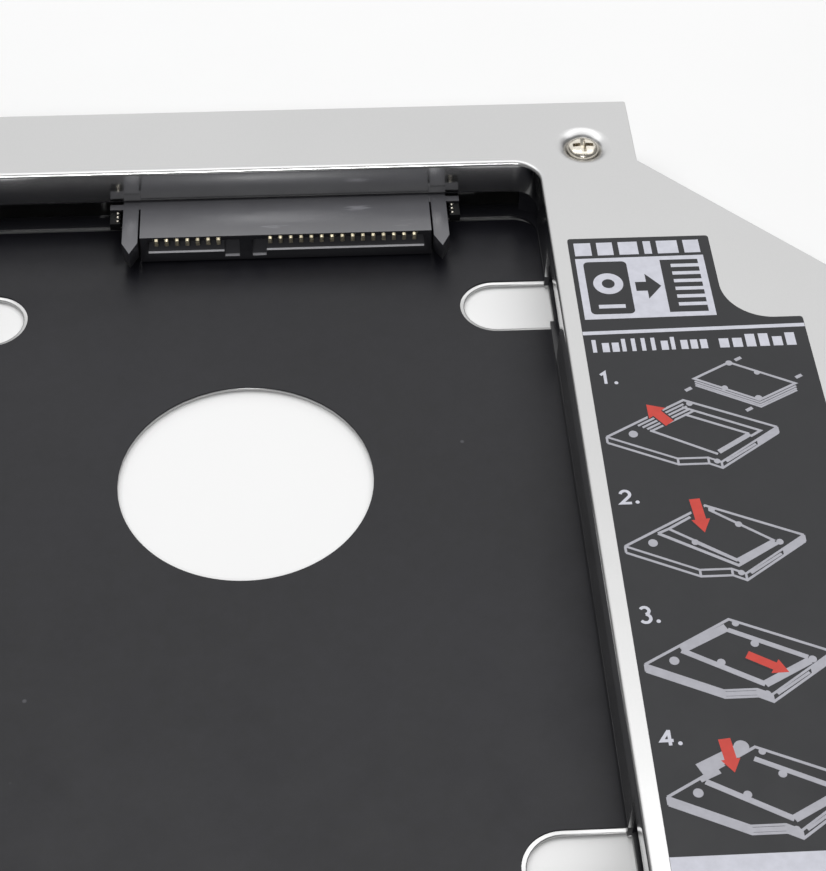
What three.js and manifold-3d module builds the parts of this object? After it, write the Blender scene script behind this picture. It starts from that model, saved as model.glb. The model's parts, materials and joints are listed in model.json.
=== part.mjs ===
// Optical-bay drive caddy: a slim laptop adapter that carries a 2.5 inch SATA drive in the bay of a
// 9.5 mm high optical drive.
//
// Two aluminium sheets, a folded bottom pan and a flat top plate, close round a black moulded frame.
// The drive drops through the opening in the top plate onto an insulating film, slides back onto the
// 22-way receptacle, and is held there by a retainer block screwed in at the front of the bay. A small
// adapter board joins the receptacle to the 13-way slimline plug in the rear edge. A black bezel with
// a dummy eject button closes the front.
//
// Units are millimetres. +Z is up, +Y points to the rear edge, which goes into the laptop first,
// +X is to the right seen from the front. The origin is the centre of the underside's bounding box.

import * as THREE from 'three';
import { mergeVertices } from 'three/addons/utils/BufferGeometryUtils.js';
import Module from 'manifold-3d';

const wasm = await Module();
wasm.setup();

// ---------------------------------------------------------------- driving dimensions

const WIDTH = 128;                 // slim optical drive width
const HEIGHT = 9.5;                // slim optical drive height
const DEPTH = 126;                 // body without its bezel
const BEZEL = 4;                   // bezel thickness
const SHEET = 0.5;                 // aluminium sheet
const GAP = 0.05;                  // between pieces that lie on each other
const PITCH = 1.27;                // serial ATA contact pitch

const LEFT = -WIDTH / 2;
const RIGHT = WIDTH / 2;
const REAR = (DEPTH + BEZEL) / 2;
const FRONT = REAR - DEPTH;
const BEZEL_FACE = FRONT - BEZEL;

const NOTCH = { x: 26.85, y: REAR - 11.65 };      // rear right corner that is cut away
const BAY = { x0: -58.8, x1: 14.5, y0: -56.5, y1: REAR - 11.55, radius: 3.2 };
const BAY_CENTRE = (BAY.x0 + BAY.x1) / 2;
const FLANGE = { low: 4.95, sideLow: 2.0 };       // the opening's edge is folded down to these heights
const WALL = 2.6;                                 // moulded wall beside the bay
const PLATE_UNDER = HEIGHT - SHEET;               // underside of the top plate
const WALL_TOP = PLATE_UNDER - GAP;               // top of everything that carries the top plate
const FLOOR = SHEET + GAP;                        // what stands on the pan starts here
const FILM = { z0: SHEET + 0.02, z1: SHEET + 0.17, side: 0.1, front: 1.9, rear: 0.6 };

const ROUND_HOLE = { x: BAY_CENTRE, y: 10.65, radius: 14.3 };
const SLOT = { rows: [37.3, -40.1], radius: 4.3, reach: 6.28, rim: 0.5 };
// Side windows over the floor slots. They run on ahead of each slot's row, for the screw to travel in.
const POCKET = { half: 3.4, ahead: 10.3, sill: 1.1, top: 6.7, under: 0.5 };

const WINDOW = { x0: BAY.x0 + 1.8, x1: BAY.x1 - 1.9, z0: 1.0, z1: 4.85, wall: 2, undercut: 1.2 };
const BOARD = { z0: 3.3, z1: 4.3, x0: -58.6, x1: 8.5, y0: 56, y1: 62.6 };
const BOARD_EAR = { width: 1.3, front: 50, gap: 0.35, holes: [50.6, 51.3, 52.0], holeRadius: 0.2 };
const RECEPTACLE = {
  first: -32.87,                   // x of the first signal contact
  face: 46.7, back: 55.8, z0: 0.9, z1: 4.8, x0: -34.8, x1: 0.95,
  arm: 2.15, armGap: 0.25, armLow: 2.4, shoulder: 45.9, tip: 44.0, collar: 52.2, collarTop: 4.65,
};
const MOUTH = { z0: 2.45, z1: 4.2, depth: 5.5, chamfer: 0.2, leg: 1.0 };
const GROOVE = { width: 0.74, top: 4.6 };
const SIGNAL = { count: 7, start: 0, x0: -1.05, x1: 10.2, leg: [8.3, 10.2] };
const POWER = { count: 15, start: 13.97, x0: 11.7, x1: 33, leg: [11.7, 13.5] };
const CONTACT = { width: 0.5, thick: 0.2 };
const PLUG = { x0: -59.8, x1: -40.2, face: REAR - 0.05, back: 59.6, z0: 1.2, z1: 6.2 };
const TONGUE = { z0: 3.1, z1: 4.3, length: 4.6 };
const PLUG_SIGNAL = { count: 7, centre: -54.6, width: 9.1 };
const PLUG_POWER = { count: 6, centre: -45.2, width: 8.2 };
const PLUG_CONTACT = { half: 0.38, thick: 0.2 };
const CAPACITOR = { xs: [-22, -16, -10], y0: 60, length: 1.6, width: 0.8, height: 0.8 };

const COVER_SCREW = { headRadius: 2.0, headHeight: 0.9, shankRadius: 0.95, length: 6, recess: 0.6 };
const SMALL_SCREW = { headRadius: 1.45, headHeight: 0.6, shankRadius: 0.75, length: 3, recess: 0.35 };
const BOARD_SCREW = { headRadius: 1.6, headHeight: 0.9, shankRadius: 0.8, length: 3.2, recess: 0.5 };
const EDGE_SCREW = { ...SMALL_SCREW, length: 5 };
const COVER_SCREWS = { cover_screw_rear: [20.5, REAR - 8.5], cover_screw_front: [52, -52] };
const EDGE_SCREWS = { edge_screw_rear: [-61.4, REAR - 8.6], edge_screw_front: [-61.4, FRONT + 3.1] };
const BEZEL_SCREWS = { bezel_screw_left: -50, bezel_screw_right: 55 };
const BEZEL_SCREW_Y = FRONT + 2.4;
const BOARD_SCREWS = { board_screw_left: -28, board_screw_right: 5.5 };
const BOARD_SCREW_Y = 60.4;
const PILOT = { radius: 1.05, floor: 2 };         // holes that the screws cut their thread in
const TOP_DIMPLE = { rim: 3.0, seat: 2.2, depth: 0.8, hole: 1.2 };
const EDGE_DIMPLE = { rim: 2.2, seat: 1.7, depth: 0.5, hole: 0.95 };
const UNDER_DIMPLE = { rim: 1.9, seat: 1.6, depth: 0.7, hole: 0.95 };

const RETAINER = { x0: BAY.x0 + 0.2, x1: BAY.x1 - 0.2, y0: BAY.y0 + 0.2, depth: 6.6, z0: 1.3, z1: 8.9 };
const COUNTERBORE = { radius: 2.15, depth: 1.1 };
const LEDGE = { length: 5.3, depth: 6.3, top: 2.4 };
const BUTTON = { x: 44, z: 4.8, width: 11.5, height: 2.7, clear: 0.25 };
const LED = { x: 33, radius: 0.9 };
const PINHOLE = { x: 28, radius: 0.6 };
const LABEL = {
  x0: 16.5, x1: 42.25, y0: -51.5, y1: 39.1, tab: 33.4, shoulder: 24.9, fillet: 6.1, thickness: 0.12,
};

// ---------------------------------------------------------------- solids

// A geometry as a manifold-3d solid: positions only, shared vertices merged, collapsed faces dropped.
function solid(geometry) {
  const bare = new THREE.BufferGeometry();
  const source = geometry.index ? geometry.toNonIndexed() : geometry;
  bare.setAttribute('position', source.getAttribute('position'));
  const merged = mergeVertices(bare, 1e-4);
  const triangles = [];
  for (let i = 0; i < merged.index.count; i += 3) {
    const [a, b, c] = [0, 1, 2].map((k) => merged.index.getX(i + k));
    if (a !== b && b !== c && a !== c) triangles.push(a, b, c);
  }
  return new wasm.Manifold(new wasm.Mesh({
    numProp: 3,
    vertProperties: merged.attributes.position.array,
    triVerts: new Uint32Array(triangles),
  }));
}

function geometryOf(made) {
  const mesh = made.getMesh();
  return new THREE.BufferGeometry()
    .setAttribute('position', new THREE.BufferAttribute(mesh.vertProperties, 3))
    .setIndex(new THREE.BufferAttribute(mesh.triVerts, 1));
}

function join(first, ...others) {
  return others.reduce((all, next) => all.add(next), first);
}

function cut(first, ...tools) {
  return tools.reduce((all, tool) => all.subtract(tool), first);
}

function box(x0, x1, y0, y1, z0, z1) {
  const geometry = new THREE.BoxGeometry(x1 - x0, y1 - y0, z1 - z0);
  return solid(geometry.translate((x0 + x1) / 2, (y0 + y1) / 2, (z0 + z1) / 2));
}

// A flat outline raised from z0 to z1.
function prism(shape, z0, z1, curveSegments = 8) {
  const geometry = new THREE.ExtrudeGeometry(shape, { depth: z1 - z0, bevelEnabled: false, curveSegments });
  return solid(geometry.translate(0, 0, z0));
}

function cylinder(x, y, radius, z0, z1, sides = 20) {
  const geometry = new THREE.CylinderGeometry(radius, radius, z1 - z0, sides);
  return solid(geometry.rotateX(Math.PI / 2).translate(x, y, (z0 + z1) / 2));
}

// An outline in the YZ plane, drawn in the (+Y, +Z) axes, raised along +X from x0 to x1.
function sideways(shape, x0, x1) {
  const geometry = new THREE.ExtrudeGeometry(shape, { depth: x1 - x0, bevelEnabled: false });
  const turn = new THREE.Matrix4().makeBasis(
    new THREE.Vector3(0, 1, 0), new THREE.Vector3(0, 0, 1), new THREE.Vector3(1, 0, 0));
  return solid(geometry.applyMatrix4(turn).translate(x0, 0, 0));
}

// A profile of [radius, height] pairs turned about a vertical axis at x, y.
function turned(profile, x, y, sides = 20) {
  const geometry = new THREE.LatheGeometry(profile.map(([r, z]) => new THREE.Vector2(r, z)), sides);
  return solid(geometry.rotateX(Math.PI / 2).translate(x, y, 0));
}

function polygon(points) {
  return new THREE.Shape(points.map(([x, y]) => new THREE.Vector2(x, y)));
}

function roundedRectangle(x0, x1, y0, y1, r) {
  const shape = new THREE.Shape();
  shape.moveTo(x0 + r, y0).lineTo(x1 - r, y0).absarc(x1 - r, y0 + r, r, -Math.PI / 2, 0);
  shape.lineTo(x1, y1 - r).absarc(x1 - r, y1 - r, r, 0, Math.PI / 2);
  shape.lineTo(x0 + r, y1).absarc(x0 + r, y1 - r, r, Math.PI / 2, Math.PI);
  shape.lineTo(x0, y0 + r).absarc(x0 + r, y0 + r, r, Math.PI, 1.5 * Math.PI);
  return shape;
}

// The bay's outline, moved outwards by `out`.
function bayOutline(out = 0) {
  return roundedRectangle(BAY.x0 - out, BAY.x1 + out, BAY.y0 - out, BAY.y1 + out, BAY.radius + out);
}

// The caddy's plan: a rectangle whose rear right corner is stepped and then cut at 45 degrees.
function plan(inset, frontInset = inset) {
  const slope = inset * (1 - Math.SQRT2);
  const foot = NOTCH.y - (RIGHT - NOTCH.x);
  return polygon([
    [LEFT + inset, FRONT + frontInset], [RIGHT - inset, FRONT + frontInset],
    [RIGHT - inset, foot + slope], [NOTCH.x - inset, NOTCH.y + slope],
    [NOTCH.x - inset, REAR - inset], [LEFT + inset, REAR - inset],
  ]);
}

// A slot in the bay floor: round at its inner end and open at the bay's left or right wall.
function floorSlot(side, y, radius, z0, z1) {
  const wall = side > 0 ? BAY.x1 : BAY.x0;
  const centre = wall - side * SLOT.reach;
  const edge = wall + side * 0.1;
  const straight = box(Math.min(centre, edge), Math.max(centre, edge), y - radius, y + radius, z0, z1);
  return join(straight, cylinder(centre, y, radius, z0, z1, 32));
}

function floorSlots(shrink, z0, z1) {
  return [-1, 1].flatMap((side) => SLOT.rows.map((y) => floorSlot(side, y, SLOT.radius - shrink, z0, z1)));
}

// A cup pressed into a sheet for a screw head. `up` is the side that the head comes from, +1 or -1.
function pressDimple(sheet, [x, y], face, up, d) {
  const seat = face - up * d.depth;
  const profile = [
    [d.hole, seat], [d.seat, seat], [d.rim, face], [d.rim + 0.3, face],
    [d.rim + 0.3, face - up * SHEET], [d.rim - 0.1, face - up * SHEET],
    [d.seat + 0.1, seat - up * SHEET], [d.hole, seat - up * SHEET], [d.hole, seat],
  ];
  const cup = turned(up > 0 ? profile.reverse() : profile, x, y, 24);
  const clear = cylinder(x, y, d.rim + 0.1, Math.min(face, seat) - 1, Math.max(face, seat) + 1, 24);
  return join(cut(sheet, clear), cup);
}

// A pan-head screw whose head rests at height `seat`. `up` is the side that the head faces.
function screw(x, y, seat, up, s) {
  const top = seat + up * s.headHeight;
  const tip = seat - up * s.length;
  const profile = [
    [0, tip], [s.shankRadius * 0.5, tip], [s.shankRadius, tip + up * 0.5], [s.shankRadius, seat],
    [s.headRadius, seat], [s.headRadius, top - up * s.headHeight * 0.45],
    [s.headRadius * 0.78, top - up * s.headHeight * 0.1], [s.headRadius * 0.5, top], [0, top],
  ];
  const body = turned(up > 0 ? profile : profile.reverse(), x, y, 16);
  const [low, high] = [top - up * s.recess, top + up].sort((a, b) => a - b);
  const arm = s.headRadius * 0.55;
  const blade = s.headRadius * 0.13;
  return cut(body, box(x - arm, x + arm, y - blade, y + blade, low, high),
    box(x - blade, x + blade, y - arm, y + arm, low, high));
}

// ---------------------------------------------------------------- aluminium sheets

function bottomPan() {
  let pan = cut(
    prism(plan(0), 0, WALL_TOP),
    prism(plan(SHEET, -1), SHEET, HEIGHT),
    cylinder(ROUND_HOLE.x, ROUND_HOLE.y, ROUND_HOLE.radius, -1, 2, 48),
    ...floorSlots(SLOT.rim, -1, 2),
    ...pocketFloors(-1, 2),
    box(PLUG.x0 - 0.4, PLUG.x1 + 0.4, REAR - 1, REAR + 1, 0.8, HEIGHT),
  );
  for (const x of Object.values(BEZEL_SCREWS)) {
    pan = pressDimple(pan, [x, BEZEL_SCREW_Y], 0, -1, UNDER_DIMPLE);
  }
  return pan;
}

// The folded edge of the opening, grown by `extra`: low beside the drive, higher across its ends, and
// notched over the side windows.
function openingFlange(extra = 0) {
  const skirt = prism(bayOutline(SHEET + extra), FLANGE.sideLow - extra, PLATE_UNDER + 0.1);
  const low = FLANGE.low - extra;
  const corner = BAY.radius + SHEET;
  const half = POCKET.half - extra;
  const ahead = POCKET.ahead - extra;
  return cut(
    skirt,
    box(LEFT, RIGHT, BAY.y1 - corner, REAR, 0, low),
    box(LEFT, RIGHT, FRONT, BAY.y0 + corner, 0, low),
    ...SLOT.rows.map((y) => box(LEFT, RIGHT, y - ahead, y + half, 0, POCKET.top)),
  );
}

function topPlate() {
  let plate = cut(
    join(prism(plan(0), PLATE_UNDER, HEIGHT), openingFlange()),
    prism(bayOutline(), 0, HEIGHT + 1),
  );
  for (const at of Object.values(COVER_SCREWS)) plate = pressDimple(plate, at, HEIGHT, 1, TOP_DIMPLE);
  for (const at of Object.values(EDGE_SCREWS)) plate = pressDimple(plate, at, HEIGHT, 1, EDGE_DIMPLE);
  return plate;
}

// ---------------------------------------------------------------- moulded frame

function pilotHole(x, y) {
  return cylinder(x, y, PILOT.radius, PILOT.floor, HEIGHT + 1, 16);
}

// Room under the pressed cup of a screw in the top plate.
function dimpleRoom([x, y], d) {
  return cylinder(x, y, d.rim + 0.1, PLATE_UNDER - d.depth - 0.15, HEIGHT, 24);
}

function bezelLugRoom(x) {
  return box(x - 3.3, x + 3.3, FRONT - 1, FRONT + 4.1, 0, 4.4);
}

// Room under the head of a bezel screw in the bottom pan.
function underDimpleRoom(x) {
  return cylinder(x, BEZEL_SCREW_Y, UNDER_DIMPLE.rim + 0.3, 0, 1.4, 16);
}

// Cut-outs in the bay's side walls over the floor slots, where the drive's side screws are reached.
function sideWindows() {
  const { half, ahead, sill, top } = POCKET;
  return SLOT.rows.flatMap((y) => [
    box(BAY.x0 - WALL, BAY.x0 + 1, y - ahead, y + half, sill, top),
    box(BAY.x1 - 1, BAY.x1 + WALL + 1, y - ahead, y + half, sill, top),
  ]);
}

// The floor slots run on a little way under the side windows, below their sills.
function pocketFloors(z0, z1) {
  const { half, under } = POCKET;
  return SLOT.rows.flatMap((y) => [
    box(BAY.x0 - under, BAY.x0 + 1, y - half, y + half, z0, z1),
    box(BAY.x1 - 1, BAY.x1 + under, y - half, y + half, z0, z1),
  ]);
}

// The recess below the rear flange follows the bay's corners.
function rearUndercut() {
  const band = prism(bayOutline(WINDOW.undercut), WINDOW.z0, WINDOW.z1);
  return band.intersect(box(LEFT, RIGHT, BAY.y1 - BAY.radius, REAR, 0, HEIGHT));
}

function innerFrame() {
  const edge = SHEET + 0.1;
  const back = BAY.y1 + WINDOW.wall;
  const ring = cut(
    box(LEFT + edge, BAY.x1 + WALL, FRONT + 0.1, back, FLOOR, WALL_TOP),
    prism(bayOutline(), 0, HEIGHT),
    rearUndercut(),
  );
  const ledges = [
    box(BAY.x0 - 0.5, BAY.x0 + LEDGE.length, BAY.y0 - 0.5, BAY.y0 + LEDGE.depth, FLOOR, LEDGE.top),
    box(BAY.x1 - LEDGE.length, BAY.x1 + 0.5, BAY.y0 - 0.5, BAY.y0 + LEDGE.depth, FLOOR, LEDGE.top),
  ];
  const leftCorner = box(LEFT + edge, PLUG.x0 - 0.5, back - 1, REAR - edge, FLOOR, WALL_TOP);
  const leftBoss = box(LEFT + edge, -57.6, back - 1, 59, FLOOR, WALL_TOP);
  const rightBlock = box(BAY.x1 + WALL - 0.1, NOTCH.x - edge, 50, REAR - edge, FLOOR, WALL_TOP);
  const rearRail = box(PLUG.x1 + 0.5, BAY.x1 + WALL, REAR - 1.9, REAR - edge, FLOOR, WALL_TOP);
  const posts = Object.values(BOARD_SCREWS).map((x) => (
    box(x - 2, x + 2, BOARD_SCREW_Y - 1.9, REAR - 1, FLOOR, BOARD.z0 - GAP)));
  const retainerHoles = retainerScrewCentres().map(([x, y]) => (
    cylinder(x, y, PILOT.radius, 1, LEDGE.top + 1, 16)));
  return cut(
    join(ring, ...ledges, leftCorner, leftBoss, rightBlock, rearRail, ...posts),
    box(WINDOW.x0, WINDOW.x1, BAY.y1 - 1.5, back + 0.01, WINDOW.z0, WINDOW.z1),
    box(BOARD.x0 - 0.2, BOARD.x1 + 0.2, back - 0.01, BOARD.y1 + 0.2, BOARD.z0 - GAP, WALL_TOP + 1),
    openingFlange(GAP),
    ...sideWindows(),
    ...pocketFloors(0, POCKET.top),
    ...retainerHoles,
    ...Object.values(EDGE_SCREWS).flatMap((at) => [pilotHole(...at), dimpleRoom(at, EDGE_DIMPLE)]),
    pilotHole(...COVER_SCREWS.cover_screw_rear),
    dimpleRoom(COVER_SCREWS.cover_screw_rear, TOP_DIMPLE),
    ...Object.values(BOARD_SCREWS).map((x) => cylinder(x, BOARD_SCREW_Y, 0.9, 0.9, BOARD.z0 + 1, 12)),
    bezelLugRoom(BEZEL_SCREWS.bezel_screw_left),
    underDimpleRoom(BEZEL_SCREWS.bezel_screw_left),
  );
}

// The hollow right-hand side is held open by a second moulding: a rim, three ribs and a screw boss.
function wingFrame() {
  const x0 = BAY.x1 + WALL + 0.2;
  const boss = COVER_SCREWS.cover_screw_front;
  const rim = cut(
    prism(plan(SHEET + 0.1, 0.1), FLOOR, WALL_TOP),
    box(LEFT - 1, x0, FRONT - 1, REAR + 1, 0, HEIGHT),
    box(LEFT, RIGHT, 49.8, REAR + 1, 0, HEIGHT),
    prism(plan(SHEET + 2.1, 4.5), 0, HEIGHT).subtract(box(LEFT, x0 + 1.8, FRONT, REAR, 0, HEIGHT)),
  );
  const ribs = [-30, -8, 13].map((y) => box(x0, RIGHT - 1.5, y, y + 1.4, FLOOR, WALL_TOP));
  return cut(
    join(rim, ...ribs, cylinder(...boss, 3.4, FLOOR, WALL_TOP), box(52, 63, -52.7, -51.3, FLOOR, WALL_TOP)),
    pilotHole(...boss),
    dimpleRoom(boss, TOP_DIMPLE),
    bezelLugRoom(BEZEL_SCREWS.bezel_screw_right),
    underDimpleRoom(BEZEL_SCREWS.bezel_screw_right),
  );
}

function insulationFilm() {
  const outline = roundedRectangle(
    BAY.x0 + FILM.side, BAY.x1 - FILM.side, BAY.y0 + FILM.front, BAY.y1 - FILM.rear, BAY.radius);
  const sheet = prism(outline, FILM.z0, FILM.z1);
  const corner = LEDGE.length + 0.1;
  const strip = LEDGE.depth + 0.1;
  return cut(
    sheet,
    cylinder(ROUND_HOLE.x, ROUND_HOLE.y, ROUND_HOLE.radius, 0, 2, 48),
    ...floorSlots(0, 0, 2),
    box(BAY.x0 - 1, BAY.x0 + corner, BAY.y0 - 1, BAY.y0 + strip, 0, 2),
    box(BAY.x1 - corner, BAY.x1 + 1, BAY.y0 - 1, BAY.y0 + strip, 0, 2),
  );
}

// ---------------------------------------------------------------- adapter board and its connectors

function adapterBoard() {
  const b = BOARD;
  const ear = BOARD_EAR;
  const left = RECEPTACLE.x0 - RECEPTACLE.arm - ear.gap;
  const right = RECEPTACLE.x1 + RECEPTACLE.arm + ear.gap;
  const ears = [[left - ear.width, left], [right, right + ear.width]].map(([x0, x1]) => (
    box(x0, x1, ear.front, b.y0 + 1, b.z0, b.z1)));
  const perforations = ear.holes.flatMap((y) => [left, right].map((x) => (
    cylinder(x, y, ear.holeRadius, b.z0 - 1, b.z1 + 1, 8))));
  return cut(
    join(box(b.x0, b.x1, b.y0, b.y1, b.z0, b.z1), ...ears),
    box(PLUG.x0 - 1, PLUG.x1 + 0.3, PLUG.back - 0.2, REAR, 0, HEIGHT),
    ...perforations,
    ...Object.values(BOARD_SCREWS).map((x) => cylinder(x, BOARD_SCREW_Y, 1.05, 0, HEIGHT, 16)),
  );
}

function contactX(bank, i) {
  return RECEPTACLE.first + bank.start + i * PITCH;
}

// An L-shaped mouth with a sloping lower lip, and a groove in its ceiling for every contact.
function mouthOf(bank) {
  const at = (x) => RECEPTACLE.first + x;
  const { face } = RECEPTACLE;
  const inner = face + MOUTH.depth;
  const slot = box(at(bank.x0), at(bank.x1), face - 1, inner, MOUTH.z0, MOUTH.z1);
  const leg = box(at(bank.leg[0]), at(bank.leg[1]), face - 1, inner, MOUTH.z0 - MOUTH.leg, MOUTH.z0 + 0.1);
  const lip = polygon([
    [face - 0.2, MOUTH.z0 - MOUTH.chamfer - 0.2], [face + MOUTH.chamfer, MOUTH.z0],
    [face + MOUTH.chamfer, MOUTH.z0 + 0.1], [face - 0.2, MOUTH.z0 + 0.1],
  ]);
  const grooves = Array.from({ length: bank.count }, (_, i) => {
    const x = contactX(bank, i);
    return box(x - GROOVE.width / 2, x + GROOVE.width / 2, face - 1, RECEPTACLE.back + 1,
      MOUTH.z1 - 0.1, GROOVE.top);
  });
  return [slot, leg, sideways(lip, at(bank.x0), at(bank.x1)), ...grooves];
}

// A guide arm: a pointed bar beside the mouths.
function guideArm(x0, x1) {
  const r = RECEPTACLE;
  const outline = polygon([
    [x0, r.collar + 0.5], [x0, r.shoulder], [(x0 + x1) / 2, r.tip], [x1, r.shoulder], [x1, r.collar + 0.5],
  ]);
  return prism(outline, r.armLow, r.z1 - 0.05);
}

function receptacleHousing() {
  const r = RECEPTACLE;
  const wing = BOARD_EAR.gap + BOARD_EAR.width;
  const body = join(
    box(r.x0, r.x1, r.face, r.back, r.z0, r.z1),
    guideArm(r.x0 - r.arm, r.x0 - r.armGap),
    guideArm(r.x1 + r.armGap, r.x1 + r.arm),
    box(r.x0 - r.arm, r.x1 + r.arm, r.collar, r.back - 1.5, 1.6, r.collarTop),
    box(r.x0 - r.arm - wing, r.x1 + r.arm + wing, r.collar, BAY.y1 - 0.3, BOARD.z1 + GAP, r.collarTop),
  );
  return cut(
    body,
    ...mouthOf(SIGNAL),
    ...mouthOf(POWER),
    box(r.x0 - r.arm - 1, r.x1 + r.arm + 1, BAY.y1 - 0.2, r.back + 1, 0, 1.7),
    box(r.x0 - r.arm - 1, r.x1 + r.arm + 1, BAY.y1 - 0.2, r.back + 1, 4.72, HEIGHT),
  );
}

// One bank of spring contacts. Each beam runs in its groove, dips into the mouth at its front end and
// ends in a solder tail on the board. A carrier strip behind the housing holds the bank together.
function contactBank(bank) {
  const { face, back } = RECEPTACLE;
  const { thick, width } = CONTACT;
  const top = GROOVE.top - 0.06;
  const beam = polygon([
    [face + 0.7, top - 1.7], [face + 0.85, top - 1.55], [face + 0.45, top - 1.3], [face + 0.5, top - 0.75],
    [face + 1.2, top - thick], [back + 2.2, top - thick], [back + 2.2, top], [face + 1.05, top],
    [face + 0.3, top - 0.65], [face + 0.25, top - 1.4],
  ]);
  const beams = Array.from({ length: bank.count }, (_, i) => {
    const x = contactX(bank, i);
    return sideways(beam, x - width / 2, x + width / 2);
  });
  const last = contactX(bank, bank.count - 1);
  const carrier = box(contactX(bank, 0), last, back + 1, back + 1.4, top - thick, top);
  return join(carrier, ...beams);
}

// The slimline plug: a shroud open to the rear, with a signal tongue and a power tongue inside.
function plugHousing() {
  const p = PLUG;
  const floor = p.back + 0.9;
  const cavity = box(p.x0 + 0.5, p.x1 - 0.5, floor, REAR + 1, p.z0 + 0.9, p.z1 - 0.8);
  const tongues = [PLUG_SIGNAL, PLUG_POWER].map(({ centre, width }) => (
    box(centre - width / 2, centre + width / 2, floor - 0.2, floor - 0.2 + TONGUE.length,
      TONGUE.z0, TONGUE.z1)));
  const passage = box(p.x0 + 1, p.x1 - 1, p.back - 1, floor + 0.1, TONGUE.z1, TONGUE.z1 + 0.35);
  return cut(join(cut(box(p.x0, p.x1, p.back, p.face, p.z0, p.z1), cavity), ...tongues), passage);
}

function plugContacts(bank) {
  const z0 = TONGUE.z1 + 0.05;
  const first = bank.centre - (bank.count - 1) * PITCH / 2;
  const z1 = z0 + PLUG_CONTACT.thick;
  const end = PLUG.back + TONGUE.length + 0.2;
  const strips = Array.from({ length: bank.count }, (_, i) => {
    const x = first + i * PITCH;
    return box(x - PLUG_CONTACT.half, x + PLUG_CONTACT.half, PLUG.back - 2, end, z0, z1);
  });
  const last = first + (bank.count - 1) * PITCH;
  const carrier = box(first, last, PLUG.back + 0.2, PLUG.back + 0.6, z0, z1);
  return join(carrier, ...strips);
}

function capacitor(x) {
  const c = CAPACITOR;
  const seat = BOARD.z1 + 0.02;
  return box(x - c.length / 2, x + c.length / 2, c.y0, c.y0 + c.width, seat, seat + c.height);
}

// ---------------------------------------------------------------- retainer block

function retainerScrewCentres() {
  const radius = RETAINER.depth / 2;
  const y = RETAINER.y0 + radius;
  return [[RETAINER.x0 + radius, y], [RETAINER.x1 - radius, y]];
}

function retainerBlock() {
  const r = RETAINER;
  const y1 = r.y0 + r.depth;
  const blank = prism(roundedRectangle(r.x0, r.x1, r.y0, y1, r.depth / 2 - 0.001), r.z0, r.z1);
  const underEnds = [
    box(r.x0 - 1, BAY.x0 + LEDGE.length + 0.2, r.y0 - 1, y1 + 1, 0, LEDGE.top + 0.05),
    box(BAY.x1 - LEDGE.length - 0.2, r.x1 + 1, r.y0 - 1, y1 + 1, 0, LEDGE.top + 0.05),
  ];
  const middle = r.y0 + r.depth / 2;
  const grooves = [-1.7, 0, 1.7].map((dy) => (
    box(r.x0 + 9, r.x1 - 9, middle + dy - 0.4, middle + dy + 0.4, r.z1 - 0.9, r.z1 + 1)));
  const holes = retainerScrewCentres().flatMap(([x, y]) => [
    cylinder(x, y, 1.1, 0, r.z1 + 1, 16),
    cylinder(x, y, COUNTERBORE.radius, r.z1 - COUNTERBORE.depth, r.z1 + 1, 24),
  ]);
  return cut(blank, ...underEnds, ...grooves, ...holes);
}

// ---------------------------------------------------------------- bezel and eject button

function bezel() {
  const back = FRONT - GAP;
  const profile = polygon([
    [back, 0], [BEZEL_FACE + 0.9, 0], [BEZEL_FACE, 0.9], [BEZEL_FACE, HEIGHT - 1.3],
    [BEZEL_FACE + 1.3, HEIGHT], [back, HEIGHT],
  ]);
  const bar = sideways(profile, LEFT, RIGHT);
  const b = BUTTON;
  const lugs = Object.values(BEZEL_SCREWS).map((x) => (
    box(x - 3, x + 3, BEZEL_FACE + 1.4, FRONT + 3.9, 1.3, 4.2)));
  return cut(
    join(
      cut(bar, box(LEFT + 2.5, RIGHT - 2.5, BEZEL_FACE + 1.6, back + 1, 1.2, HEIGHT - 1.2)),
      ...lugs,
    ),
    box(b.x - b.width / 2 - b.clear, b.x + b.width / 2 + b.clear, BEZEL_FACE - 1, FRONT - 1,
      b.z - b.height / 2 - b.clear, b.z + b.height / 2 + b.clear),
    ...Object.values(BEZEL_SCREWS).map((x) => cylinder(x, BEZEL_SCREW_Y, 0.85, 1, 5, 12)),
    along(LED.x, LED.radius + 0.1, BEZEL_FACE - 1, FRONT + 1, 16),
    along(PINHOLE.x, PINHOLE.radius, BEZEL_FACE - 1, FRONT + 1, 16),
  );
}

// A round bar along Y at the button's height.
function along(x, radius, y0, y1, sides) {
  const geometry = new THREE.CylinderGeometry(radius, radius, y1 - y0, sides);
  return solid(geometry.translate(x, (y0 + y1) / 2, BUTTON.z));
}

function ejectButton() {
  const b = BUTTON;
  const behind = BEZEL_FACE + 1.7;
  return join(
    box(b.x - b.width / 2, b.x + b.width / 2, BEZEL_FACE + 0.1, behind + 0.5,
      b.z - b.height / 2, b.z + b.height / 2),
    box(b.x - b.width / 2 - 1, b.x + b.width / 2 + 1, behind, behind + 0.8,
      b.z - b.height / 2 - 0.9, b.z + b.height / 2 + 0.9),
  );
}

// ---------------------------------------------------------------- label

function label() {
  const l = LABEL;
  const r = l.fillet;
  const shape = new THREE.Shape();
  shape.moveTo(l.x0, l.y0).lineTo(l.x1, l.y0).lineTo(l.x1, l.shoulder).lineTo(l.tab + r, l.shoulder);
  shape.absarc(l.tab + r, l.shoulder + r, r, -Math.PI / 2, -Math.PI, true);
  shape.lineTo(l.tab, l.y1).lineTo(l.x0, l.y1);
  return prism(shape, HEIGHT + 0.02, HEIGHT + 0.02 + l.thickness, 12);
}

// ---------------------------------------------------------------- materials and assembly

function finish(color, roughness, metalness) {
  return new THREE.MeshStandardMaterial({ color, roughness, metalness });
}

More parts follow.
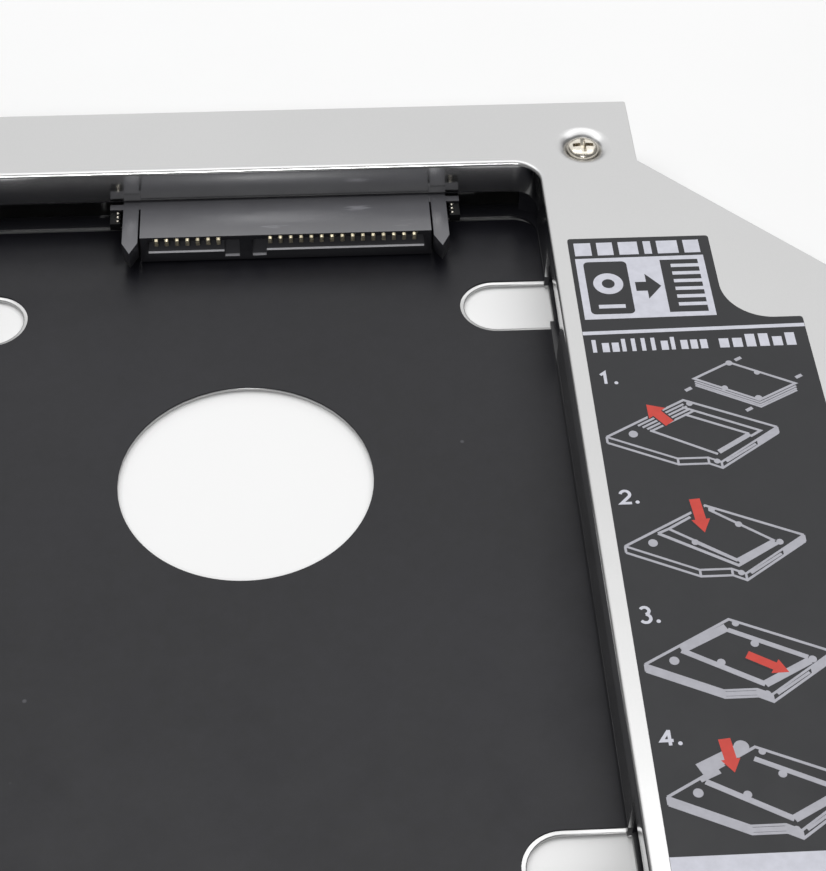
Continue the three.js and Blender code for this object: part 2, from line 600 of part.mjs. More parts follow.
const aluminium = finish(0xcfcfce, 0.35, 1.0);
const blackPlastic = finish(0x151518, 0.3, 0.0);
const blackFilm = finish(0x2a2a2d, 0.6, 0.0);
const connectorPlastic = finish(0x1d1d20, 0.5, 0.0);
const boardBlack = finish(0x1c1f1e, 0.45, 0.0);
const gold = finish(0xd9b45a, 0.3, 1.0);
const nickel = finish(0xc9c4b8, 0.25, 1.0);
const ceramic = finish(0xa08a6a, 0.5, 0.0);
const lens = finish(0xe8efe8, 0.2, 0.0);
const labelInk = finish(0x2f3033, 0.5, 0.0);

const caddy = new THREE.Group();

function add(name, made, material) {
  const mesh = new THREE.Mesh(geometryOf(made), material);
  mesh.name = name;
  caddy.add(mesh);
}

add('bottom_pan', bottomPan(), aluminium);
add('top_plate', topPlate(), aluminium);
add('inner_frame', innerFrame(), blackPlastic);
add('wing_frame', wingFrame(), blackPlastic);
add('insulation_film', insulationFilm(), blackFilm);
add('adapter_board', adapterBoard(), boardBlack);
add('receptacle_housing', receptacleHousing(), connectorPlastic);
add('receptacle_signal_contacts', contactBank(SIGNAL), gold);
add('receptacle_power_contacts', contactBank(POWER), gold);
add('slimline_plug_housing', plugHousing(), connectorPlastic);
add('slimline_signal_contacts', plugContacts(PLUG_SIGNAL), gold);
add('slimline_power_contacts', plugContacts(PLUG_POWER), gold);
CAPACITOR.xs.forEach((x, i) => add(`board_capacitor_${i + 1}`, capacitor(x), ceramic));
for (const [name, x] of Object.entries(BOARD_SCREWS)) {
  add(name, screw(x, BOARD_SCREW_Y, BOARD.z1 + 0.02, 1, BOARD_SCREW), nickel);
}
for (const [name, [x, y]] of Object.entries(COVER_SCREWS)) {
  add(name, screw(x, y, HEIGHT - TOP_DIMPLE.depth + 0.02, 1, COVER_SCREW), nickel);
}
for (const [name, [x, y]] of Object.entries(EDGE_SCREWS)) {
  add(name, screw(x, y, HEIGHT - EDGE_DIMPLE.depth + 0.02, 1, EDGE_SCREW), nickel);
}
for (const [name, x] of Object.entries(BEZEL_SCREWS)) {
  add(name, screw(x, BEZEL_SCREW_Y, UNDER_DIMPLE.depth - 0.02, -1, SMALL_SCREW), nickel);
}
add('front_bezel', bezel(), blackPlastic);
add('eject_button', ejectButton(), blackPlastic);
add('led_lens', along(LED.x, LED.radius, BEZEL_FACE + 0.05, BEZEL_FACE + 2.6, 16), lens);
add('retainer_block', retainerBlock(), blackPlastic);
retainerScrewCentres().forEach(([x, y], i) => {
  const seat = RETAINER.z1 - COUNTERBORE.depth + 0.02;
  add(i ? 'retainer_screw_right' : 'retainer_screw_left', screw(x, y, seat, 1, COVER_SCREW), nickel);
});
add('instruction_label', label(), labelInk);

export default caddy;
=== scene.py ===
# Looks for the optical-bay drive caddy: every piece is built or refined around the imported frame.
# Lengths are in millimetres unless a name says otherwise, and MM turns them into metres. Lights and
# floor are placed in metres.

import json
import math

import bmesh
import bpy
from mathutils import Matrix, Vector


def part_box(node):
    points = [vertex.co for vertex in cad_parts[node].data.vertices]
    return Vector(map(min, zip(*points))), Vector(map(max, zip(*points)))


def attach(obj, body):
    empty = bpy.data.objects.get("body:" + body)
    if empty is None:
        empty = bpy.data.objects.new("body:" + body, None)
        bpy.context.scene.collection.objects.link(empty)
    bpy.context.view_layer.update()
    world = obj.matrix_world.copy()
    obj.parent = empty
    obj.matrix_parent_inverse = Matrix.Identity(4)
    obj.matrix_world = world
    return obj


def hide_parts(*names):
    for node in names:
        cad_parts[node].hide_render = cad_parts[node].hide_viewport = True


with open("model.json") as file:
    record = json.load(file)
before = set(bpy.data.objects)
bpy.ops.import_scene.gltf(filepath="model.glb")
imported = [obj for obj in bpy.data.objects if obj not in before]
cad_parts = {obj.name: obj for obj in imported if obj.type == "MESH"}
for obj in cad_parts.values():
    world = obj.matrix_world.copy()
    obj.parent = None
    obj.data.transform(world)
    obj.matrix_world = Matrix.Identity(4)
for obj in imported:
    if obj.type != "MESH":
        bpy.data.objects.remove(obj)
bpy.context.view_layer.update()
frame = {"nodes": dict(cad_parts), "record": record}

MM = 0.001
BODY = "caddy"
SHEET = 0.5                     # aluminium sheet

# ------------------------------------------------------------------ places, read from the frame


def extent(node):
    """Lowest and highest corner of a CAD node, in millimetres."""
    low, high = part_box(node)
    return low / MM, high / MM


def middle(node):
    low, high = extent(node)
    return (low + high) / 2


PLATE_LOW, PLATE_HIGH = extent("top_plate")
FILM_LOW, FILM_HIGH = extent("insulation_film")
LABEL_LOW, LABEL_HIGH = extent("instruction_label")
OPENINGS = {o["name"]: o["box_m"] for o in frame["record"]["physics"]["openings"]}


def opening_middle(name):
    low, high = OPENINGS[name]
    return Vector((low[i] + high[i]) / 2 / MM for i in range(3))


TOP = PLATE_HIGH.z
BAY = {                         # the opening in the top plate, between the walls of its fold
    "x0": FILM_LOW.x - 0.1, "x1": FILM_HIGH.x + 0.1,
    "y0": extent("retainer_block")[0].y - 0.2, "y1": FILM_HIGH.y + 0.6, "radius": 3.2,
}
NOTCH_X = extent("inner_frame")[1].x + 0.6      # the plan's rear right corner is cut away here
NOTCH_STEP = 11.65
REAR = extent("bottom_pan")[1].y
NOTCH_Y = REAR - NOTCH_STEP
CORNER_FOOT = NOTCH_Y - (PLATE_HIGH.x - NOTCH_X)
HOLE = opening_middle("round_floor_hole")
HOLE_RADIUS = 14.3
SLOT_RADIUS = 4.3               # of the cut in the film; the aluminium reaches 0.5 further in
SLOT_REACH = 6.28               # from the bay wall to the centre of a slot's round end
POCKET_TOP = 6.7                # side windows over the slots, notched into the folded flange
POCKET_HALF = 3.4               # how far each window runs on behind its slot's middle
POCKET_AHEAD = 10.3             # and ahead of it
FLANGE_LOW = 4.95               # lower edge of the folded flange across the bay's ends
FLANGE_SIDE_LOW = 2.0           # and along its sides
FILM_TUCK = 0.4                 # how far the film runs on under the bay's side walls
LEDGE_X, LEDGE_Y = 5.9, 6.4     # the retainer's ledges, which the film's front corners clear
COVER_CUP = {"rim": 3.0, "seat": 2.2, "depth": 0.8, "hole": 1.2}     # pressed in for screw heads
EDGE_CUP = {"rim": 1.95, "seat": 1.65, "depth": 0.5, "hole": 0.95}
EAR_DOT_INSET = 0.95            # solder dots on the board's ears, from the housing's two ends
EAR_DOTS = (50.45, 51.2, 51.9)
FACE = 46.7                     # front face of the receptacle
# Pale strips that paint highlights along the receptacle's mouth edges.
MOUTH_EDGE_HIGHLIGHTS = (     # left and right from the housing's left end, depth, height at front and at back
    (4.73, 14.0, 0.17, 2.26, 2.42), (14.1, 15.85, 0.45, 1.45, 1.45),
    (17.5, 19.15, 0.45, 1.45, 1.45), (19.25, 38.65, 0.17, 2.26, 2.42),
)

# ------------------------------------------------------------------ node materials


def linear(r, g, b):
    """An sRGB colour, 0 to 255, as linear RGBA."""
    def one(v):
        v /= 255
        return v / 12.92 if v <= 0.04045 else ((v + 0.055) / 1.055) ** 2.4
    return (one(r), one(g), one(b), 1.0)


def scaled(colour, share):
    """A colour made darker or lighter by a factor."""
    return tuple(c * share for c in colour[:3]) + (1.0,)


class Nodes:
    """A material's node tree, with short calls for the nodes that the materials here share."""

    def __init__(self, name):
        self.material = bpy.data.materials.new(name)
        self.material.use_nodes = True
        self.tree = self.material.node_tree
        self.shader = self.tree.nodes["Principled BSDF"]
        texture = self.new("ShaderNodeTexCoord")
        self.place = texture.outputs["Object"]
        self.normal = texture.outputs["Normal"]

    def new(self, kind):
        return self.tree.nodes.new(kind)

    def link(self, a, b):
        self.tree.links.new(a, b)

    def stretched(self, x, y, z):
        node = self.new("ShaderNodeMapping")
        node.inputs["Scale"].default_value = (x, y, z)
        self.link(self.place, node.inputs["Vector"])
        return node.outputs["Vector"]

    def noise(self, scale, detail=3.0, rough=0.5, vector=None):
        node = self.new("ShaderNodeTexNoise")
        node.inputs["Scale"].default_value = scale
        node.inputs["Detail"].default_value = detail
        node.inputs["Roughness"].default_value = rough
        self.link(vector or self.place, node.inputs["Vector"])
        return node.outputs["Fac"]

    def specks(self, scale, size):
        """1 at scattered round specks of relative radius `size`, else 0."""
        node = self.new("ShaderNodeTexVoronoi")
        node.inputs["Scale"].default_value = scale
        self.link(self.place, node.inputs["Vector"])
        return self.ramp(node.outputs["Distance"], (size * 0.5, 1.0), (size, 0.0))

    def ramp(self, value, low, high):
        """Maps value from low[0]..high[0] to low[1]..high[1], clamped."""
        node = self.new("ShaderNodeMapRange")
        node.inputs["From Min"].default_value, node.inputs["To Min"].default_value = low
        node.inputs["From Max"].default_value, node.inputs["To Max"].default_value = high
        self.link(value, node.inputs["Value"])
        return node.outputs["Result"]

    def combine(self, operation, a, b):
        node = self.new("ShaderNodeMath")
        node.operation = operation
        self.link(a, node.inputs[0])
        self.link(b, node.inputs[1])
        return node.outputs[0]

    def times(self, a, b):
        return self.combine("MULTIPLY", a, b)

    def plus(self, a, b):
        return self.combine("ADD", a, b)

    def mix(self, factor, a, b):
        """A colour mix; a and b are RGBA values or sockets."""
        node = self.new("ShaderNodeMix")
        node.data_type = "RGBA"
        self.link(factor, node.inputs[0])
        for socket, value in ((node.inputs[6], a), (node.inputs[7], b)):
            if isinstance(value, tuple):
                socket.default_value = value
            else:
                self.link(value, socket)
        return node.outputs[2]

    def colour(self, value):
        self.link(value, self.shader.inputs["Base Color"])

    def roughness(self, value):
        self.link(value, self.shader.inputs["Roughness"])

    def bump(self, height, depth_mm, strength=1.0):
        node = self.new("ShaderNodeBump")
        node.inputs["Distance"].default_value = depth_mm * MM
        node.inputs["Strength"].default_value = strength
        self.link(height, node.inputs["Height"])
        self.link(node.outputs["Normal"], self.shader.inputs["Normal"])

    def set(self, **values):
        """Sets shader inputs by name, with underscores for spaces."""
        for key, value in values.items():
            self.shader.inputs[key.replace("_", " ")].default_value = value


def aluminium(name, shade, rough):
    """Bare sheet: a fine bead-blasted grain and faint clouds in its colour and gloss."""
    n = Nodes(name)
    n.set(Metallic=1.0)
    cloud = n.noise(35, 2)
    grain = n.noise(6500, 2, 0.6)
    light, dark = scaled((shade,) * 3, 1.02), scaled((shade,) * 3, 0.97)
    n.colour(n.mix(n.ramp(n.plus(cloud, grain), (0.7, 0.0), (1.3, 1.0)), dark, light))
    n.roughness(n.ramp(n.noise(220, 4, 0.6), (0.3, rough * 0.93), (0.7, rough * 1.07)))
    n.bump(grain, 0.002, 0.5)
    return n.material


def moulded(name, colour, rough, grain_mm=0.003, grain_scale=2500, dust=0.0, ior=1.5):
    """Moulded plastic: a fine grain, cloudy gloss and a little dust."""
    n = Nodes(name)
    n.set(IOR=ior)
    cloud = n.noise(90, 3)
    shade = n.mix(n.ramp(cloud, (0.35, 0.0), (0.65, 1.0)), scaled(colour, 0.8), colour)
    if dust:
        fleck = n.times(n.specks(420, 0.12), n.ramp(n.noise(60, 2), (0.5, 0.0), (0.7, dust)))
        shade = n.mix(fleck, shade, linear(150, 150, 155))
    n.colour(shade)
    n.roughness(n.ramp(n.noise(160, 5, 0.6), (0.3, rough * 0.8), (0.7, rough * 1.25)))
    n.bump(n.noise(grain_scale, 2), grain_mm, 0.6)
    return n.material


def housing_material():
    """Black glass-filled plastic whose faces that look up are painted grey: a painted sheen for the
    light from above, with scuffs on it.
    """
    n = Nodes("connector_black")
    n.set(IOR=1.55)
    parts = n.new("ShaderNodeSeparateXYZ")
    n.link(n.normal, parts.inputs["Vector"])
    # Painted sheen: faces that look up take a lighter grey than the black of the rest.
    upward_sheen_mask = n.ramp(parts.outputs["Z"], (0.35, 0.0), (0.95, 1.0))
    cloud = n.ramp(n.noise(110, 4, 0.6), (0.35, 0.0), (0.65, 1.0))
    painted_sheen_and_scuffs = n.mix(cloud, linear(84, 84, 88), linear(90, 90, 94))
    scuffs = n.ramp(n.noise(700, 3, 0.6, n.stretched(0.15, 1.0, 1.0)), (0.64, 0.0), (0.72, 0.5))
    # The scuffs laid over the painted sheen are wear.
    painted_sheen_and_scuffs = n.mix(scuffs, painted_sheen_and_scuffs, linear(150, 150, 156))
    n.colour(n.mix(upward_sheen_mask, linear(40, 40, 44), painted_sheen_and_scuffs))
    n.roughness(n.ramp(n.noise(160, 5, 0.6), (0.3, 0.28), (0.7, 0.42)))
    n.bump(n.noise(2600, 2), 0.003, 0.6)
    return n.material


def film_material():
    """Charcoal plastic film, mottled, with a few specks of dust."""
    n = Nodes("film_black")
    n.set(IOR=1.36)
    mottle = n.noise(700, 4, 0.65)
    cloud = n.noise(28, 2)
    mottled = n.ramp(n.plus(mottle, cloud), (0.75, 0.0), (1.25, 1.0))
    shade = n.mix(mottled, linear(15, 15, 20), linear(22, 22, 28))
    fleck = n.times(n.specks(150, 0.045), n.ramp(n.noise(45, 2), (0.52, 0.0), (0.6, 0.8)))
    n.colour(n.mix(fleck, shade, linear(140, 140, 146)))
    n.roughness(n.ramp(n.noise(120, 5, 0.6), (0.3, 0.36), (0.7, 0.46)))
    n.bump(n.noise(3200, 3), 0.002, 0.6)
    return n.material


def printed(name, colour, rough=0.42):
    """Ink or coated paper: a slightly uneven coat and a paper-fine grain."""
    n = Nodes(name)
    n.set(IOR=1.38)
    coat = n.ramp(n.noise(900, 4, 0.6), (0.35, 0.0), (0.65, 1.0))
    n.colour(n.mix(coat, scaled(colour, 0.9), colour))
    n.roughness(n.ramp(n.noise(200, 4), (0.3, rough * 0.9), (0.7, rough * 1.1)))
    n.bump(n.noise(2600, 2), 0.0015, 0.5)
    return n.material


def plated(name, colour, rough):
    """Plated metal with small stains in the plating."""
    n = Nodes(name)
    n.set(Metallic=1.0)
    clean = n.ramp(n.noise(800, 4, 0.6), (0.4, 0.0), (0.62, 1.0))
    n.colour(n.mix(clean, scaled(colour, 0.78), colour))
    n.roughness(n.ramp(n.noise(1500, 3), (0.3, rough * 0.75), (0.7, rough * 1.3)))
    n.bump(n.noise(5000, 2), 0.002, 0.5)
    return n.material


def board_material():
    """Black solder mask with the copper's edges showing through it."""
    n = Nodes("board_black")
    n.set(IOR=1.25)
    tracks = n.ramp(n.noise(320, 1, 0.3, n.stretched(1.0, 0.15, 1.0)), (0.48, 0.0), (0.52, 1.0))
    n.colour(n.mix(tracks, linear(12, 13, 14), linear(22, 24, 26)))
    n.roughness(n.ramp(n.noise(300, 3), (0.3, 0.45), (0.7, 0.6)))
    n.bump(tracks, 0.02, 0.6)
    return n.material


def lens_material():
    """Frosted clear plastic."""
    n = Nodes("lens_frosted")
    n.set(IOR=1.49, Transmission_Weight=0.6)
    n.colour(n.mix(n.noise(900, 3), linear(215, 222, 215), linear(238, 242, 238)))
    n.roughness(n.ramp(n.noise(700, 3), (0.3, 0.3), (0.7, 0.5)))
    n.bump(n.noise(2200, 2), 0.003, 0.6)
    return n.material


MATERIALS = {
    "satin": aluminium("aluminium_satin", 0.455, 0.3),
    "flange": aluminium("aluminium_bright", 0.68, 0.16),
    "frame": moulded("frame_black", linear(36, 36, 40), 0.2, 0.002, 1800, 0.4, 1.38),
    "bezel": moulded("bezel_black", linear(34, 34, 36), 0.42, 0.012, 1500),
    "connector": housing_material(),
    "film": film_material(),
    "label": printed("label_charcoal", linear(25, 26, 30)),
    "print_pale": printed("print_pale", linear(197, 198, 208)),
    "print_line": printed("print_line", linear(166, 166, 174)),
    "print_red": printed("print_red", linear(194, 56, 44)),
    # a pale plastic that paints the highlights on the receptacle's mouth edges
    "painted_lip_highlight": printed("plastic_painted_lip_highlight", linear(205, 205, 210), 0.35),
    "gold": plated("contact_gold", linear(255, 243, 212), 0.4),
    "nickel": plated("screw_nickel", linear(214, 208, 196), 0.24),
    "board": board_material(),
    "ceramic": moulded("ceramic_chip", linear(150, 122, 92), 0.4),
    "lens": lens_material(),
}

# ------------------------------------------------------------------ mesh helpers


def piece(name, bm, materials, slot, body=BODY, replaces=(), smooth_deg=35):
    """Makes a named piece of a bmesh in millimetres; it rides on a body and replaces CAD nodes."""
    mesh = bpy.data.meshes.new(name)
    bmesh.ops.scale(bm, vec=(MM, MM, MM), verts=bm.verts)
    bm.to_mesh(mesh)
    bm.free()
    mesh.polygons.foreach_set("use_smooth", [True] * len(mesh.polygons))
    mesh.set_sharp_from_angle(angle=math.radians(smooth_deg))
    for key in materials:
        mesh.materials.append(MATERIALS[key])
    obj = bpy.data.objects.new(name, mesh)
    bpy.context.scene.collection.objects.link(obj)
    if replaces:
        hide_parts(*replaces)
    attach(obj, body)
    return obj


def arc(cx, cy, radius, start_deg, end_deg, steps):
    """Points on an arc, both ends included."""
    return [
        (cx + radius * math.cos(math.radians(a)), cy + radius * math.sin(math.radians(a)))
        for a in (start_deg + (end_deg - start_deg) * i / steps for i in range(steps + 1))
    ]


def circle(cx, cy, radius, steps=48):
    return arc(cx, cy, radius, 0, 360 - 360 / steps, steps - 1)


def rounded_rectangle(x0, x1, y0, y1, radius, steps):
    return (
        arc(x1 - radius, y0 + radius, radius, -90, 0, steps)
        + arc(x1 - radius, y1 - radius, radius, 0, 90, steps)
        + arc(x0 + radius, y1 - radius, radius, 90, 180, steps)
        + arc(x0 + radius, y0 + radius, radius, 180, 270, steps)
    )


def rounded_polygon(corners, inset, radius, steps=6):
    """An anticlockwise polygon moved in by `inset`, its corners rounded about fixed centres."""
    points = []
    count = len(corners)
    for i, corner in enumerate(corners):
        before, here, after = (Vector(corners[(i + k) % count]) for k in (-1, 0, 1))
        d_in, d_out = (here - before).normalized(), (after - here).normalized()
        n_in, n_out = Vector((-d_in.y, d_in.x)), Vector((-d_out.y, d_out.x))
        convex = d_in.cross(d_out) > 0
        side = 1 if convex else -1
        half = n_in + n_out
        centre = here + half / half.dot(n_in) * radius * side
        reach = radius - inset * side
        start = math.degrees(math.atan2(-n_in.y * side, -n_in.x * side))
        turn = math.degrees(d_in.angle_signed(d_out)) * -1
        points += arc(centre.x, centre.y, reach, start, start + turn, steps)
    return points


def ring(bm, outline, z):
    """Vertices along an outline, at one height or at a list of heights."""
    heights = z if isinstance(z, list) else [z] * len(outline)
    return [bm.verts.new((x, y, height)) for (x, y), height in zip(outline, heights)]


def loft(bm, rings, material=0):
    """Joins rings of equal count into a skin."""
    for a, b in zip(rings, rings[1:]):
        for i in range(len(a)):
            j = (i + 1) % len(a)
            face = bm.faces.new((a[i], a[j], b[j], b[i]))
            face.material_index = material


def fill(bm, loops, material=0):
    """Fills between loops: the first is the outline and the others are holes."""
    edges = []
    for loop in loops:
        for i, vert in enumerate(loop):
            after = loop[(i + 1) % len(loop)]
            edges.append(bm.edges.get((vert, after)) or bm.edges.new((vert, after)))
    made = bmesh.ops.triangle_fill(bm, use_beauty=True, use_dissolve=False, edges=edges)
    for face in made["geom"]:
        if isinstance(face, bmesh.types.BMFace):
            face.material_index = material


def sheet_piece(name, loops, materials, slot, replaces):
    """A sheet. Each loop lists (outline, z) from the top face to the bottom face, and may have a
    third value: the material of the band that follows. The flat faces take the first material."""
    bm = bmesh.new()
    made = []
    for sections in loops:
        rings = [ring(bm, section[0], section[1]) for section in sections]
        for section, pair in zip(sections, zip(rings, rings[1:])):
            loft(bm, pair, section[2] if len(section) > 2 else 1)
        made.append(rings)
    fill(bm, [rings[0] for rings in made])
    fill(bm, [rings[-1] for rings in made])
    bmesh.ops.recalc_face_normals(bm, faces=bm.faces)
    obj = piece(name, bm, materials, slot, BODY, replaces)
    curved = [poly.material_index > 0 for poly in obj.data.polygons]
    obj.data.polygons.foreach_set("use_smooth", curved)


def refine(node, key, slot, bevel, body):
    """A CAD node rebuilt with merged flat faces and rounded edges."""
    weld, flat, sharp = 0.002, math.radians(1.0), math.radians(32)
    bm = bmesh.new()
    bm.from_mesh(frame["nodes"][node].data)
    bmesh.ops.scale(bm, vec=(1 / MM,) * 3, verts=bm.verts)
    bmesh.ops.remove_doubles(bm, verts=bm.verts, dist=weld)
    bmesh.ops.dissolve_limit(bm, angle_limit=flat, verts=bm.verts, edges=bm.edges)
    rims = [e for e in bm.edges if len(e.link_faces) == 2 and e.calc_face_angle(0) > sharp]
    bmesh.ops.bevel(
        bm, geom=rims, offset=bevel, segments=2, profile=0.5, affect="EDGES", clamp_overlap=True)
    piece(f"{node}_fine", bm, [key], slot, body, [node])


# ------------------------------------------------------------------ aluminium sheets

PLAN = [
    (PLATE_LOW.x, PLATE_LOW.y), (PLATE_HIGH.x, PLATE_LOW.y), (PLATE_HIGH.x, CORNER_FOOT),
    (NOTCH_X, NOTCH_Y), (NOTCH_X, REAR), (PLATE_LOW.x, REAR),
]
ROWS = [opening_middle("floor_slot_front_right").y, opening_middle("floor_slot_rear_right").y]
STEP = 0.01                     # half the width of a step in the flange's lower edge


def cup_sections(node, cup):
    """The pressed cup under a screw head, as (outline, z) from the top face to the underside."""
    at = middle(node)
    rim, seat, depth, hole = (cup[key] for key in ("rim", "seat", "depth", "hole"))
    under = depth + SHEET
    profile = [
        (rim + 0.55, 0.0), (rim + 0.25, -0.04), (rim - 0.05, -0.15),
        ((rim + seat) / 2, -0.39 * depth), (seat + 0.1, -0.62 * depth),
        (seat - 0.05, -0.87 * depth), (seat - 0.2, -depth), (hole, -depth),
        (hole, -under), (seat, -under), (rim - 0.2, -SHEET - 0.15), (rim + 0.3, -SHEET),
    ]
    return [(circle(at.x, at.y, r), TOP + z) for r, z in profile]


CORNER = BAY["radius"] + SHEET
SIDE_START, SIDE_END = BAY["y0"] + CORNER, BAY["y1"] - CORNER    # where the flange reaches lower


def bay_outline(out):
    """The bay's outline moved out by `out`, with points where the flange's lower edge steps."""
    radius = BAY["radius"] + out
    x0, x1, y0, y1 = BAY["x0"] - out, BAY["x1"] + out, BAY["y0"] - out, BAY["y1"] + out
    steps = [SIDE_START]
    for row in ROWS:
        steps += [row - POCKET_AHEAD, row + POCKET_HALF]
    steps.append(SIDE_END)
    ys = [y + side for y in steps for side in (-STEP, STEP)]
    return (
        arc(x1 - radius, y0 + radius, radius, -90, 0, 12) + [(x1, y) for y in ys]
        + arc(x1 - radius, y1 - radius, radius, 0, 90, 12)
        + arc(x0 + radius, y1 - radius, radius, 90, 180, 12) + [(x0, y) for y in reversed(ys)]
        + arc(x0 + radius, y0 + radius, radius, 180, 270, 12)
    )


def flange_low(y):
    """Height of the flange's lower edge at depth y."""
    if not SIDE_START < y < SIDE_END:
        return FLANGE_LOW
    notched = any(-POCKET_AHEAD < y - row < POCKET_HALF for row in ROWS)
    return POCKET_TOP if notched else FLANGE_SIDE_LOW


def bay_sections():
    """The opening's edge: a shallow roll, a tight bend, the flange and back up its outer face."""
    bend, roll = 0.5, 0.3
    lean, bright_from = 20, 46      # degrees
    satin, bright = 1, 2            # material slots
    start = bend * (1 - math.sin(math.radians(lean)))
    fall = roll * math.tan(math.radians(lean)) / 2
    sections = [
        (bay_outline(start + roll * (1 - k)), TOP - fall * k * k) for k in (0.0, 0.25, 0.5, 0.75)]
    for turn in (lean, 34, 46, 58, 69, 80, 90):
        out = bend * (1 - math.sin(math.radians(turn)))
        sink = bend * (math.cos(math.radians(lean)) - math.cos(math.radians(turn)))
        band = satin if turn < bright_from else bright
        sections.append((bay_outline(out), TOP - fall - sink, band))
    inner = bay_outline(0)
    for out, up in ((0.0, 0.1), (0.06, 0.0), (SHEET - 0.06, 0.0), (SHEET, 0.06)):
        sections.append((bay_outline(out), [flange_low(y) + up for _, y in inner], bright))
    for out, sink in ((0.0, 0.4), (0.25, 0.1), (0.8, 0.0)):
        sections.append((bay_outline(SHEET + out), TOP - SHEET - sink))
    return sections


def outer_edge_sections():
    """The plate's outer edge, lightly rounded above and below."""
    soft, corner = 0.08, 0.3
    rows = (
        (soft, 0.0), (soft * 0.3, -soft * 0.3), (0.0, -soft), (0.0, soft - SHEET), (soft, -SHEET))
    return [(rounded_polygon(PLAN, inset, corner), TOP + z) for inset, z in rows]


def build_top_plate():
    loops = [outer_edge_sections(), bay_sections()]
    loops += [cup_sections(f"cover_screw_{end}", COVER_CUP) for end in ("rear", "front")]
    loops += [cup_sections(f"edge_screw_{end}", EDGE_CUP) for end in ("rear", "front")]
    materials = ["satin", "satin", "flange"]
    sheet_piece("top_plate_sheet", loops, materials, "satin_aluminium", ["top_plate"])


def film_outline(gap):
    """The insulating film: slots open to both walls, and its front corners cut for the ledges."""
    x0, x1 = BAY["x0"] - FILM_TUCK + gap, BAY["x1"] + FILM_TUCK - gap
    y0, y1 = FILM_LOW.y + gap, FILM_HIGH.y - gap
    ledge_y = BAY["y0"] + LEDGE_Y + gap
    reach = SLOT_REACH + FILM_TUCK
    radius = SLOT_RADIUS + gap
    right = [(x1 - LEDGE_X, y0), (x1 - LEDGE_X, ledge_y), (x1, ledge_y)]
    for y in ROWS:
        end = arc(x1 - reach + gap, y, radius, 270, 90, 24)
        right += [(x1, y - radius)] + end + [(x1, y + radius)]
    corner = BAY["radius"]
    right += arc(x1 - corner, y1 - corner, corner, 0, 90, 12)
    centre = (x0 + x1) / 2
    left = [(2 * centre - x, y) for x, y in reversed(right)]
    return right + left


def build_film():
    edge, sides = 0.03, 128
    rows = ((edge, FILM_HIGH.z), (0, FILM_HIGH.z - edge), (0, FILM_LOW.z))
    loops = [
        [(film_outline(out), z) for out, z in rows],
        [(circle(HOLE.x, HOLE.y, HOLE_RADIUS + out, sides), z) for out, z in rows],
    ]
    replaced = ["insulation_film"]
    sheet_piece("insulation_film_sheet", loops, ["film", "film"], "insulation_film", replaced)


# ------------------------------------------------------------------ screws

HEAD_CURVE = (                  # a head's crown: shares of its radius, and of its height downwards
    (0.3, 0.0), (0.62, 0.08), (0.84, 0.26), (0.96, 0.5), (1.0, 0.72),
)
SHANK = 0.48                    # of the head's radius
CROSS_TOP = (0.76, 0.17)        # a recess's reach and half width, as shares of the head's radius
CROSS_FOOT = (0.4, 0.1)
CUTTER_RISE = 0.25              # how far a recess's cutter stands above the head
SHARP_HEAD = 40                 # degrees


def apply_boolean(obj, cutter):
    """Cuts one mesh object by another and removes the cutter."""
    modifier = obj.modifiers.new("cut", "BOOLEAN")
    modifier.object = cutter
    modifier.solver = "EXACT"
    made = bpy.data.meshes.new_from_object(obj.evaluated_get(bpy.context.evaluated_depsgraph_get()))
    obj.modifiers.clear()
    obj.data = made
    bpy.data.objects.remove(cutter)


def lathe(bm, profile, x, y, steps=48):
    """A closed body turned about a vertical axis; the profile runs from the axis to the axis."""
    rings = [ring(bm, circle(x, y, r, steps), z) for r, z in profile[1:-1]]
    loft(bm, rings)
    for tip, around in ((profile[0], rings[0]), (profile[-1], rings[-1])):
        end = bm.verts.new((x, y, tip[1]))
        for i, vert in enumerate(around):
            bm.faces.new((end, vert, around[(i + 1) % len(around)]))
    bmesh.ops.recalc_face_normals(bm, faces=bm.faces)


def plus_outline(x, y, reach, half):
    """A cross of four arms, each reaching `reach` from its centre and 2 x `half` wide."""
    corners = [(reach, -half), (reach, half), (half, half)]
    points = []
    for turn in range(4):
        c, q = math.cos(turn * math.pi / 2), math.sin(turn * math.pi / 2)
        points += [(x + c * u - q * v, y + q * u + c * v) for u, v in corners]
    return points


def cross_cutter(x, y, top, up, radius, depth):
    """A cross that stands above the head and narrows downwards, to be taken from it."""
    bm = bmesh.new()
    rings = []
    for (reach, half), z in ((CROSS_TOP, top + up * CUTTER_RISE), (CROSS_FOOT, top - up * depth)):
        rings.append(ring(bm, plus_outline(x, y, radius * reach, radius * half), z))
    loft(bm, rings)
    bm.faces.new(rings[0])
    bm.faces.new(rings[1])
    bmesh.ops.recalc_face_normals(bm, faces=bm.faces)
    bmesh.ops.scale(bm, vec=(MM, MM, MM), verts=bm.verts)
    mesh = bpy.data.meshes.new("cutter")
    bm.to_mesh(mesh)
    bm.free()
    cutter = bpy.data.objects.new("cutter", mesh)
    bpy.context.scene.collection.objects.link(cutter)
    return cutter


def build_screw(node, head_height, recess, up, body):
    """A pan-headed screw with a cross recess; `up` is 1 where its head faces up, else -1."""
    low, high = extent(node)
    at = middle(node)
    radius = (high.x - low.x) / 2
    top, tip = (high.z, low.z) if up > 0 else (low.z, high.z)
    seat = top - up * head_height
    shank = radius * SHANK
    profile = [(0, top)]
    profile += [(radius * out, top - up * head_height * sink) for out, sink in HEAD_CURVE]
    profile += [(radius * 0.98, seat + up * 0.04), (radius * 0.9, seat)]
    profile += [(shank, seat), (shank, tip + up * 0.4), (shank * 0.6, tip), (0, tip)]
    bm = bmesh.new()
    lathe(bm, profile, at.x, at.y)
    obj = piece(f"{node}_fine", bm, ["nickel"], "screw_nickel", body, [node], SHARP_HEAD)
    apply_boolean(obj, cross_cutter(at.x, at.y, top, up, radius, recess))
    obj.data.set_sharp_from_angle(angle=math.radians(SHARP_HEAD))
